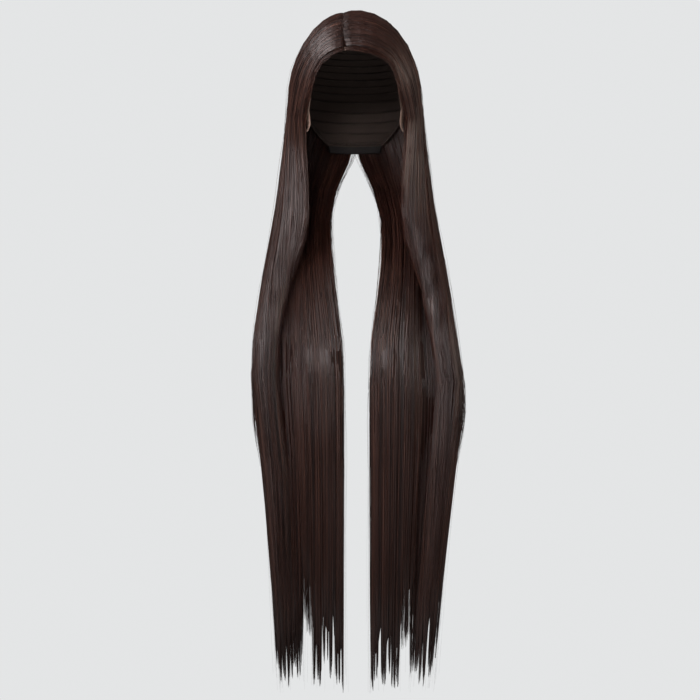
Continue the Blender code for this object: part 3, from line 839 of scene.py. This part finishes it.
class WIG_OT_strands(bpy.types.Operator):
    """Adds the strands of each section, gathered into locks that end in points"""

    bl_idname = "wig.strands"
    bl_label = "Strands"

    CROWN_POINTS, FALL_POINTS = 12, 12
    SPREADS = {"front": (0.0, 1.04), "back": (-0.07, 1.0)}  # both reach over the seam between them
    SUB_LOCKS = 3  # finer locks within each lock
    LOCK_GATHER, TIP_GATHER = 0.9, 0.24  # rows of the table over which the ends draw together
    OVER_PARTING = 0.11  # how far a root lies beyond the parting, in rows of the table
    ROOT_SINK = 0.32  # how far a root at the edge lies under the inner face, as a share of the thickness
    LAYERED = 0.06  # share of hairs that end well above the tips
    OUTER_LAYER = 0.30  # share of the outer front hairs that end beside the waist
    OUTER_SHORT = (0.30, 0.42)  # so far above the tips
    OUTER_FLARE = 0.006  # and stand off so far at their ends
    OUTER_FROM = 0.55  # where across a front section its outer hairs start
    LAYERED_SHORT = (0.03, 0.24)
    LOCK_SCATTER = 0.45  # how far a finer lock may lie from its even place, in widths of one
    LOCK_SHORT = 0.030  # furthest that a finer lock ends above its lock's tip
    SIDES_SHORT, SIDES_FURTHEST = 0.016, 1.2  # hairs at the sides of a finer lock end higher
    RAGGED, MOST_RAGGED = 0.014, 0.07  # how much shorter single hairs are, on average and at most
    EDGE_ROOTS = 0.10  # share of a section, at its edge, over which roots rise and pass the parting
    DRIFT, DEPTH_DRIFT = 0.008, 0.06  # how far a hair wanders across and in depth
    ON_TOP, TOP_AND_BOTTOM = 0.60, 0.82  # share of hairs near the surface, and with those underneath
    ROOTED_OVER = 0.20  # rows of the table over which a hair rises from its root
    FLARES_FROM = 0.80  # share of its own length

    def execute(self, context):
        settings = context.scene.wig_hair
        material = hair_material("dark_brown_strands", settings, 0.6, gloss=0.50)
        for number, section in enumerate(SECTIONS):
            rng = np.random.default_rng(40 + number)
            mesh = self.strands(section, settings, rng)
            name = section.name.replace("hair", "strands")
            make_object(name, mesh, material, [section.name])
        return {"FINISHED"}

    def strands(self, section, settings, rng):
        count = settings.strands
        first, last = self.SPREADS[section.kind]
        across = first + (last - first) * (np.arange(count) + rng.uniform(0, 1, count)) / count
        locks = len(section.trims)
        fine = locks * self.SUB_LOCKS
        centres = (np.arange(fine) + 0.5 + rng.uniform(-self.LOCK_SCATTER, self.LOCK_SCATTER, fine)) / fine
        lock = np.clip((centres * locks).astype(int), 0, locks - 1)
        lock_short = np.array(section.trims)[lock] * HAIR_DROP + rng.uniform(0.0, self.LOCK_SHORT, fine)
        mine = np.argmin(np.abs(across[:, None] - centres[None, :]), axis=1)
        aside = np.minimum(np.abs(across - centres[mine]) * 2 * fine, self.SIDES_FURTHEST)
        short = lock_short[mine] + self.SIDES_SHORT * aside**1.5
        short += np.minimum(rng.exponential(self.RAGGED, count), self.MOST_RAGGED)
        layered = rng.uniform(0, 1, count) < self.LAYERED
        short += layered * rng.uniform(*self.LAYERED_SHORT, count)
        outer = rng.uniform(0, 1, count) < self.OUTER_LAYER
        outer &= (section.kind == "front") & (across > self.OUTER_FROM)
        short = np.where(outer, rng.uniform(*self.OUTER_SHORT, count), short)
        end = section.end(across, short)
        inward = np.clip(across / self.EDGE_ROOTS, 0, 1)
        start = -rng.uniform(0, self.OVER_PARTING, count) * inward
        place = hair_places(section, start, end, self.CROWN_POINTS, self.FALL_POINTS)
        share = place / section.last
        to_lock = (lock[mine] + 0.5) / locks - across
        lock_gather = np.clip((place - (end - self.LOCK_GATHER)[:, None]) / self.LOCK_GATHER, 0, 1) ** 1.5
        gather = np.clip((place - (end - self.TIP_GATHER)[:, None]) / self.TIP_GATHER, 0, 1) ** 1.5
        gather *= (rng.uniform(0.35, 1.0, fine)[mine] * rng.uniform(0.3, 1.0, count))[:, None]
        drift = smooth_wander(rng, count, share, (0.8, 1.7, 3.1)) * self.DRIFT
        spot = across[:, None] + drift + (to_lock * 0.12)[:, None] * lock_gather
        spot += (centres[mine][:, None] - spot) * gather
        layer = rng.uniform(0, 1, count)
        surface = 1 - np.abs(rng.normal(0, 0.10, count))
        under, between = rng.uniform(0.0, 0.16, count), rng.uniform(0.15, 0.9, count)
        depth = np.where(layer < self.ON_TOP, surface, np.where(layer < self.TOP_AND_BOTTOM, under, between))
        depth = depth[:, None] + smooth_wander(rng, count, share, (1.3, 2.6)) * self.DEPTH_DRIFT
        depth += (0.5 - depth) * gather * 0.6
        root = (rng.uniform(0.30, 0.85, count) + self.ROOT_SINK) * inward - self.ROOT_SINK
        rooted = np.clip((place - start[:, None]) / self.ROOTED_OVER, 0, 1) ** 0.6
        depth = depth * rooted + root[:, None] * (1 - rooted)
        inner, normal, thick = section.read(spot, place)
        paths = inner + normal * (thick * depth)[..., None]
        own = place / end[:, None]
        flare = np.where(outer, rng.uniform(0.0, self.OUTER_FLARE, count), 0)
        flaring = np.clip((own - self.FLARES_FROM) / 0.20, 0, 1) ** 1.4
        paths[..., 0] += section.side * flare[:, None] * flaring
        taper = np.clip(own / 0.04, 0.45, 1) * np.clip((1 - own) / 0.09, 0.08, 1) ** 0.7
        radii = settings.strand_width / 2 * rng.uniform(0.55, 1.35, count)[:, None] * taper
        in_place = rng.uniform(0, 1, count) < 0.7
        columns = 0.004 + 0.985 * np.where(in_place, across, rng.uniform(0, 1, count))
        widths = np.full(count, STRAND_STRIP)
        return tube_mesh(section.name, paths, normal, radii, HAIR_SIDES, columns, widths)


class WIG_OT_loose_hairs(bpy.types.Operator):
    """Adds the loose hairs that stand off the surface and the fine hairs along the hairline"""

    bl_idname = "wig.loose_hairs"
    bl_label = "Loose Hairs"

    STAND_OFF = 0.0022  # furthest that a loose hair stands off
    WANDER = 0.022
    REAR_SHARE, EDGES_SHARE = 0.25, 0.40  # share of hairs along the rear edge, and along both edges
    REAR_SCATTER, FRONT_SCATTER = 0.024, 0.012
    HAIRLINE_HAIRS = 600
    HAIRLINE_END = 3.9  # the lowest row that a fine hair roots in
    LONG_SHARE = 0.45  # share of them that joins the flow
    ROOT_DEPTH = 0.0009  # how deep they root under the hair, in the lace

    def execute(self, context):
        settings = context.scene.wig_hair
        material = hair_material("loose_hair", settings, 0.8, lighter=1.25)
        for number, section in enumerate(SECTIONS):
            rng = np.random.default_rng(80 + number)
            name = section.name.replace("hair", "loose_hairs")
            make_object(name, self.loose(section, settings, rng), material, [section.name])
            if section.kind == "front":
                name = section.name.replace("front_hair", "hairline")
                make_object(name, self.hairline(section, settings, rng), material, [section.name])
        return {"FINISHED"}

    def loose(self, section, settings, rng):
        count = settings.strays
        edge = rng.uniform(0, 1, count)
        rear = 1 + rng.normal(0, self.REAR_SCATTER, count)
        front, anywhere = rng.normal(0, self.FRONT_SCATTER, count), rng.uniform(0, 1, count)
        across = np.where(edge < self.REAR_SHARE, rear, np.where(edge < self.EDGES_SHARE, front, anywhere))
        start = np.where(rng.uniform(0, 1, count) < 0.3, 0.05, rng.uniform(3.0, 8.0, count))
        full = section.end(np.clip(across, 0, 1), np.minimum(rng.exponential(0.05, count), 0.4))
        end = np.minimum(start + rng.uniform(3.0, 10.0, count), full)
        place = hair_places(section, start, end, 7, 9)
        share = (place - start[:, None]) / (end - start)[:, None]
        spot = across[:, None] + smooth_wander(rng, count, share, (0.7, 1.6, 2.9)) * self.WANDER
        stand = np.abs(smooth_wander(rng, count, share, (0.6, 1.4))) * self.STAND_OFF
        inner, normal, thick = section.read(spot, place)
        sink = np.where(start > 0.1, 0.85, 0.2)[:, None]
        depth = sink + (1.0 - sink) * np.clip(share / 0.08, 0, 1)
        paths = inner + normal * (thick * depth + stand)[..., None]
        taper = np.clip((1 - share) / 0.3, 0.25, 1)
        radii = settings.stray_width / 2 * rng.uniform(0.7, 1.3, count)[:, None] * taper
        columns, widths = rng.uniform(0, 0.99, count), np.full(count, STRAY_STRIP)
        return tube_mesh(section.name, paths, normal, radii, HAIR_SIDES, columns, widths)

    def hairline(self, section, settings, rng):
        """Short hairs that root in the lace along the front edge and join the flow."""
        count = self.HAIRLINE_HAIRS
        start = self.HAIRLINE_END * rng.uniform(0.0, 1.0, count) ** 1.3
        long_hair = rng.uniform(0, 1, count) < self.LONG_SHARE
        end = start + np.where(long_hair, rng.uniform(0.9, 2.2, count), rng.uniform(0.25, 0.7, count))
        place = start[:, None] + (end - start)[:, None] * np.linspace(0, 1, 9)[None, :]
        share = (place - start[:, None]) / (end - start)[:, None]
        rooted = rng.uniform(-0.045, 0.050, count)
        joined = rooted + np.where(long_hair, rng.uniform(0.0, 0.06, count), rng.normal(0.0, 0.025, count))
        spot = rooted[:, None] + (joined - rooted)[:, None] * share**0.8
        inner, normal, thick = section.read(spot, place)
        high = np.where(long_hair, rng.uniform(0.75, 1.05, count), rng.uniform(0.05, 0.5, count))[:, None]
        risen = np.clip(share / 0.55, 0, 1) ** 0.8
        lift = -self.ROOT_DEPTH + (thick * high + self.ROOT_DEPTH) * risen
        paths = inner + normal * lift[..., None]
        taper = np.clip((1 - share) / 0.5, 0.2, 1) * np.clip(share / 0.1 + 0.5, 0, 1)
        width = np.where(long_hair, settings.strand_width * 0.6, settings.stray_width * 1.6)
        radii = width[:, None] / 2 * rng.uniform(0.7, 1.2, count)[:, None] * taper
        columns, widths = rng.uniform(0, 0.99, count), np.full(count, STRAY_STRIP)
        return tube_mesh(section.name, paths, normal, radii, HAIR_SIDES, columns, widths)


class WIG_OT_cap(bpy.types.Operator):
    """Adds the net cap, the rows of sewn hair inside it and the hem round its rim"""

    bl_idname = "wig.cap"
    bl_label = "Net Cap"

    SEGMENTS, RINGS = 96, 28
    NET_PITCH = 0.0018
    FIRST_WEFT_DOWN = 34
    WEFT_START, WEFT_START_LOW = 78, 116  # where the rows start round the head, at the top and lower down
    HEM_WIDTH = 0.0016
    WEFT_POINTS, WEFT_SIDES = 73, 6
    WEFT_TONES = (0.25, 0.6, 1.5)  # dark, brown and light as shares of the net's colour
    WEFT_BUMP = (0.6, 0.0004)
    WEFT_LIFT = -0.0004
    RIM_CLEAR_DEG = 1.5  # how far above the rim the lowest row stays

    def net_rim(self, turn):
        bare = degrees_of(LACE_DEPTH - LACE_OVERLAP)
        return rim_down(turn) - bare * float(np.interp(abs(turn), NET_STANDS_BACK_DEG, (1, 0)))

    def execute(self, context):
        settings = context.scene.wig_cap
        around = 2 * math.pi * (HEAD_HALF_WIDTH + HEAD_HALF_DEPTH) / 2
        net = net_material("brown_net", settings.net_colour, 0.30, (1.0, 1.0), 0.85, 0.7,
                           cells(self.NET_PITCH, around, 1.8 * CROWN_RISE))
        self.net(net)
        thread, tree, shader = new_material("sewn_wefts", settings.net_colour, 0.7)
        tones = [[part * share for part in settings.net_colour] for share in self.WEFT_TONES]
        # the streaks' painted shade also darkens each row at its start and towards its end
        add_streaks(tree, shader, tones, self.WEFT_BUMP)
        self.wefts(thread, settings)
        return {"FINISHED"}

    def net(self, material):
        bpy.ops.object.select_all(action="DESELECT")
        bpy.ops.mesh.primitive_uv_sphere_add(segments=self.SEGMENTS, ring_count=2 * self.RINGS, radius=1.0)
        piece = bpy.context.object
        piece.name = piece.data.name = "net_cap"
        bpy.ops.object.mode_set(mode="EDIT")
        bpy.ops.mesh.select_all(action="SELECT")
        bpy.ops.mesh.bisect(plane_co=(0, 0, -0.2 / self.RINGS), plane_no=(0, 0, -1), clear_outer=True)
        bpy.ops.object.mode_set(mode="OBJECT")
        mesh = piece.data
        spots = []
        for vertex in mesh.vertices:
            share = math.acos(max(min(vertex.co.normalized().z, 1.0), 0.0)) / (math.pi / 2)
            turn = math.degrees(math.atan2(vertex.co.x, -vertex.co.y))
            spots.append((turn / 360 + 0.5, share))
            vertex.co = on_head(towards(self.net_rim(turn) * share, turn), 0.0)
        select_only(piece)
        layer = add_wall(piece, CAP_WALL)
        first = len(spots)
        for face in mesh.polygons:
            turns = [spots[mesh.loops[corner].vertex_index % first][0] for corner in face.loop_indices]
            wraps = max(turns) - min(turns) > 0.5
            for corner in face.loop_indices:
                index = mesh.loops[corner].vertex_index
                turn, share = spots[index % first]
                turn = turn + 1.0 if wraps and turn < 0.5 else turn
                outer = 0.006 if index >= first else 0.0
                layer.uv[corner].vector = (0.005 + 0.975 * turn + outer, 0.005 + 0.975 * share + outer)
        mesh.shade_smooth()
        dress(piece, material, ["cap_net"])

    def wefts(self, material, settings):
        """Rows of hair sewn on tapes inside the net, and the hem of its rim."""
        step = degrees_of(settings.weft_spacing)
        rows, lifts = [], []
        points = self.WEFT_POINTS
        for down in np.arange(self.FIRST_WEFT_DOWN, max(RIM_DOWN), step):
            sunk = (down - self.FIRST_WEFT_DOWN) / (max(RIM_DOWN) - self.FIRST_WEFT_DOWN)
            first = self.WEFT_START + (self.WEFT_START_LOW - self.WEFT_START) * sunk
            turns = np.linspace(first, 360 - first, points)
            safe = [min(down, rim_down(turn if turn <= 180 else 360 - turn) - self.RIM_CLEAR_DEG)
                    for turn in turns]
            if safe[points // 2] < down:
                continue
            for tier in (-1, 1):
                height = tier * degrees_of(settings.weft_height) / 4
                rows.append([on_head(towards(low + height, turn), self.WEFT_LIFT)
                             for low, turn in zip(safe, turns)])
                lifts.append(settings.weft_height / 4)
        turns = np.linspace(NET_STANDS_BACK_DEG[0], 360 - NET_STANDS_BACK_DEG[0], points)
        rows.append([
            on_head(towards(self.net_rim(turn if turn <= 180 else turn - 360), turn), CAP_WALL / 2)
            for turn in turns
        ])
        lifts.append(self.HEM_WIDTH / 2)
        paths = np.array(rows)
        normals = paths + (0, 0, CROWN_RISE)
        radii = np.repeat(np.array(lifts)[:, None], points, axis=1)
        columns = np.linspace(0.02, 0.95, len(rows))
        mesh = tube_mesh("wefts", paths, normals, radii, self.WEFT_SIDES, columns, np.full(len(rows), 0.02))
        make_object("wefts_and_hem", mesh, material, ["cap_net"])


class WIG_OT_lace(bpy.types.Operator):
    """Adds the lace strip along the hairline and the two ear tabs"""

    bl_idname = "wig.lace"
    bl_label = "Lace"

    ROWS, COLUMNS = 9, 121
    TAB_ROWS, TAB_COLUMNS = 25, 13
    PITCH = 0.0011

    def execute(self, context):
        colour = context.scene.wig_cap.lace_colour
        length = 2 * math.radians(LACE_END_DEG) * HEAD_HALF_DEPTH
        lace = net_material("fine_lace", colour, 0.14, (0.04, 0.55), 0.75, 0.5,
                            cells(self.PITCH, length, LACE_DEPTH))
        tabs = net_material("tab_lace", colour, 0.30, (0.45, 0.95), 0.75, 0.5,
                            cells(self.PITCH, TAB_WIDTH, TAB_LENGTH))
        self.strip(lace)
        for side in (-1, 1):
            self.tab(side, tabs)
        return {"FINISHED"}

    def strip(self, material):
        depth, margin = degrees_of(LACE_DEPTH), degrees_of(LACE_MARGIN)

        def shape(down, across):
            turn = LACE_END_DEG * (2 * across - 1)
            kept = float(np.interp(abs(turn), (LACE_NARROWS_DEG, LACE_END_DEG), (1, LACE_SHALLOW_SHARE)))
            sewn = rim_down(turn) - depth * kept
            ragged = 0.35 * math.sin(turn * 2.9) + 0.25 * math.sin(turn * 7.3 + 1)
            hairline = rim_down(turn) + margin + ragged * min(max(down - 0.9, 0) * 10, 1)
            return on_head(towards(sewn + (hairline - sewn) * down, turn), CAP_WALL + SEAM_GAP), 1.0

        piece = add_grid("hairline_lace", self.ROWS, self.COLUMNS)
        bend_grid(piece, self.ROWS, self.COLUMNS, shape, LACE_WALL * 0.5, False, flat_map)
        dress(piece, material, ["lace_front"])

    def tab(self, side, material):
        half = math.degrees(TAB_WIDTH / 2 / HEAD_HALF_DEPTH)
        start = rim_down(TAB_TURN_DEG) - degrees_of(TAB_TUCK)
        length = math.degrees(TAB_LENGTH / NAPE_TAPER)

        def shape(down, across):
            drawn_in = max(down - TAB_ROUND_FROM, 0.0) / (1 - TAB_ROUND_FROM)
            width = half * max(math.sqrt(1.0 - drawn_in**2), TAB_END_WIDTH)
            flare = TAB_FLARE * (max(down - TAB_FLARE_FROM, 0.0) / (1 - TAB_FLARE_FROM)) ** 2
            x, y, z = on_head(towards(start + length * down, TAB_TURN_DEG + width * (2 * across - 1)), flare)
            return (x * side, y, z), 1.0

        node = "ear_tab_left" if side < 0 else "ear_tab_right"
        piece = add_grid(node.replace("tab", "tab_lace"), self.TAB_ROWS, self.TAB_COLUMNS)
        bend_grid(piece, self.TAB_ROWS, self.TAB_COLUMNS, shape, LACE_WALL * 0.6, side < 0, flat_map)
        dress(piece, material, [node])


class WIG_OT_nape_band(bpy.types.Operator):
    """Adds the ribbed elastic band behind the nape"""

    bl_idname = "wig.nape_band"
    bl_label = "Nape Band"

    ROWS, COLUMNS = 9, 65
    RIB = 0.0012

    def execute(self, context):
        top = rim_down(180) + math.degrees(SEAM_GAP / NAPE_TAPER)
        height = math.degrees(NAPE_BAND_HEIGHT / NAPE_TAPER)
        length = 2 * math.radians(180 - NAPE_BAND_START_DEG) * HEAD_HALF_DEPTH
        elastic = net_material("ribbed_elastic", context.scene.wig_cap.band_colour, 0.5, (1.0, 1.0), 0.7, 0.8,
                               cells(self.RIB, length, NAPE_BAND_HEIGHT))

        def shape(down, across):
            turn = 180 + (180 - NAPE_BAND_START_DEG) * (2 * across - 1)
            return on_head(towards(top + height * down, turn), 0.0), 1.0

        piece = add_grid("nape_elastic", self.ROWS, self.COLUMNS)
        bend_grid(piece, self.ROWS, self.COLUMNS, shape, NAPE_BAND_WALL, False, flat_map)
        dress(piece, elastic, ["nape_band"])
        return {"FINISHED"}


# A light: the setting that holds its power, its place, width, aim, colour and spread in degrees.
Light = namedtuple("Light", "name power place size target colour spread")


class WIG_OT_stage(bpy.types.Operator):
    """Sets up the pale floor and surroundings, the soft lights and the camera"""

    bl_idname = "wig.stage"
    bl_label = "Stage"

    FLOOR_DROP = 1.52
    FLOOR_RADIUS = 2.4
    FLOOR_COLOUR, FLOOR_GLOW, FLOOR_GLOW_STRENGTH = (0.84, 0.86, 0.87), (1.0, 0.99, 0.98), 0.22
    SKY_COLOUR, SKY_STRENGTH = (1.0, 0.94, 0.92), 0.225  # what lights the wig, not what the camera sees
    LIGHTS = (
        Light("window_light", "key_power", (-2.2, -1.7, 0.8), 1.2, (0.0, 0.0, -0.30), (1.0, 0.92, 0.92), 180),
        Light("fill_light", "fill_power", (1.5, -0.6, 0.1), 0.7, (0.1, 0.0, -0.1), (1.0, 0.84, 0.72), 60),
        Light("top_light", "top_power", (-1.5, -0.6, 1.0), 0.7, (-0.03, 0.0, 0.0), (1.0, 0.92, 0.92), 40),
        Light("back_light", "back_power", (0.7, 2.3, 1.2), 1.6, (0.0, 0.0, -0.45), (1.0, 1.0, 1.0), 180),
        Light("band_light", "band_power", (-0.35, -2.6, 0.55), 0.9, (0.0, -0.13, -0.55),
              (1.0, 0.92, 0.93), 24),
    )

    def execute(self, context):
        stage = context.scene.wig_stage
        self.floor()
        self.surroundings(context, stage)
        for light in self.LIGHTS:
            self.soft_light(light, getattr(stage, light.power))
        self.camera(context, stage)
        context.scene.view_settings.view_transform = "Standard"
        return {"FINISHED"}

    def floor(self):
        bpy.ops.object.select_all(action="DESELECT")
        bpy.ops.mesh.primitive_circle_add(
            vertices=96, radius=self.FLOOR_RADIUS, fill_type="NGON", location=(0, 0, -self.FLOOR_DROP))
        floor = bpy.context.object
        floor.name = "floor"
        material, tree, shader = new_material("pale_floor", self.FLOOR_COLOUR, 0.9)
        place = add_node(tree, "ShaderNodeTexCoord").outputs["Object"]
        noise = add_node(tree, "ShaderNodeTexNoise", values={"Scale": 3.0}, sources={"Vector": place})
        tree.links.new(remap(tree, noise.outputs["Fac"], 0, 1, 0.85, 0.95), shader.inputs["Roughness"])
        shader.inputs["Emission Color"].default_value = (*self.FLOOR_GLOW, 1.0)
        shader.inputs["Emission Strength"].default_value = self.FLOOR_GLOW_STRENGTH
        floor.data.materials.append(material)

    def surroundings(self, context, stage):
        world = bpy.data.worlds.new("pale_surroundings")
        world.use_nodes = True
        tree = world.node_tree
        tree.nodes.clear()
        seen = add_node(tree, "ShaderNodeBackground", values={"Color": (*stage.backdrop, 1.0)})
        light = add_node(tree, "ShaderNodeBackground",
                         values={"Color": (*self.SKY_COLOUR, 1.0), "Strength": self.SKY_STRENGTH})
        path = add_node(tree, "ShaderNodeLightPath")
        mix = add_node(tree, "ShaderNodeMixShader",
                       sources={0: path.outputs["Is Camera Ray"], 1: light.outputs[0], 2: seen.outputs[0]})
        add_node(tree, "ShaderNodeOutputWorld", sources={"Surface": mix.outputs[0]})
        context.scene.world = world

    def soft_light(self, light, power):
        data = bpy.data.lights.new(light.name, "AREA")
        data.shape = "SQUARE"
        data.size = light.size
        data.energy = power
        data.color = light.colour
        data.spread = math.radians(light.spread)
        lamp = bpy.data.objects.new(light.name, data)
        lamp.location = light.place
        bpy.context.scene.collection.objects.link(lamp)
        aim = np.array(light.target) - np.array(light.place)
        lamp.rotation_euler = (
            math.atan2(math.hypot(aim[0], aim[1]), -aim[2]), 0.0, math.atan2(-aim[0], aim[1]))

    def camera(self, context, stage):
        data = bpy.data.cameras.new("camera")
        data.sensor_width = 36.0
        data.lens = data.sensor_width * stage.camera_distance / stage.frame_width
        camera = bpy.data.objects.new("camera", data)
        camera.location = (stage.camera_across, -stage.camera_distance, stage.camera_height)
        camera.rotation_euler = (math.pi / 2, 0.0, 0.0)
        context.scene.collection.objects.link(camera)
        context.scene.camera = camera


class WIG_PT_panel(bpy.types.Panel):
    """Lists the pieces of the wig and their settings"""

    bl_label = "Wig"
    bl_idname = "WIG_PT_panel"
    bl_space_type = "VIEW_3D"
    bl_region_type = "UI"
    bl_category = "Wig"

    def draw(self, context):
        layout = self.layout
        for operator in OPERATORS:
            layout.operator(operator.bl_idname)
        for group in (context.scene.wig_hair, context.scene.wig_cap, context.scene.wig_stage):
            box = layout.box()
            for name in group.bl_rna.properties.keys():
                if name not in ("rna_type", "name"):
                    box.prop(group, name)


OPERATORS = (
    WIG_OT_stage,
    WIG_OT_cap,
    WIG_OT_lace,
    WIG_OT_nape_band,
    WIG_OT_hair_bodies,
    WIG_OT_strands,
    WIG_OT_loose_hairs,
)
SETTINGS = (WigHairSettings, WigCapSettings, WigStageSettings)
CLASSES = (*SETTINGS, *OPERATORS, WIG_PT_panel)


def register():
    for cls in CLASSES:
        bpy.utils.register_class(cls)
    bpy.types.Scene.wig_hair = bpy.props.PointerProperty(type=WigHairSettings)
    bpy.types.Scene.wig_cap = bpy.props.PointerProperty(type=WigCapSettings)
    bpy.types.Scene.wig_stage = bpy.props.PointerProperty(type=WigStageSettings)


def unregister():
    for name in ("wig_hair", "wig_cap", "wig_stage"):
        delattr(bpy.types.Scene, name)
    for cls in reversed(CLASSES):
        bpy.utils.unregister_class(cls)


def main():
    register()
    for operator in OPERATORS:
        family, action = operator.bl_idname.split(".")
        getattr(getattr(bpy.ops, family), action)()


if __name__ == "__main__":
    main()
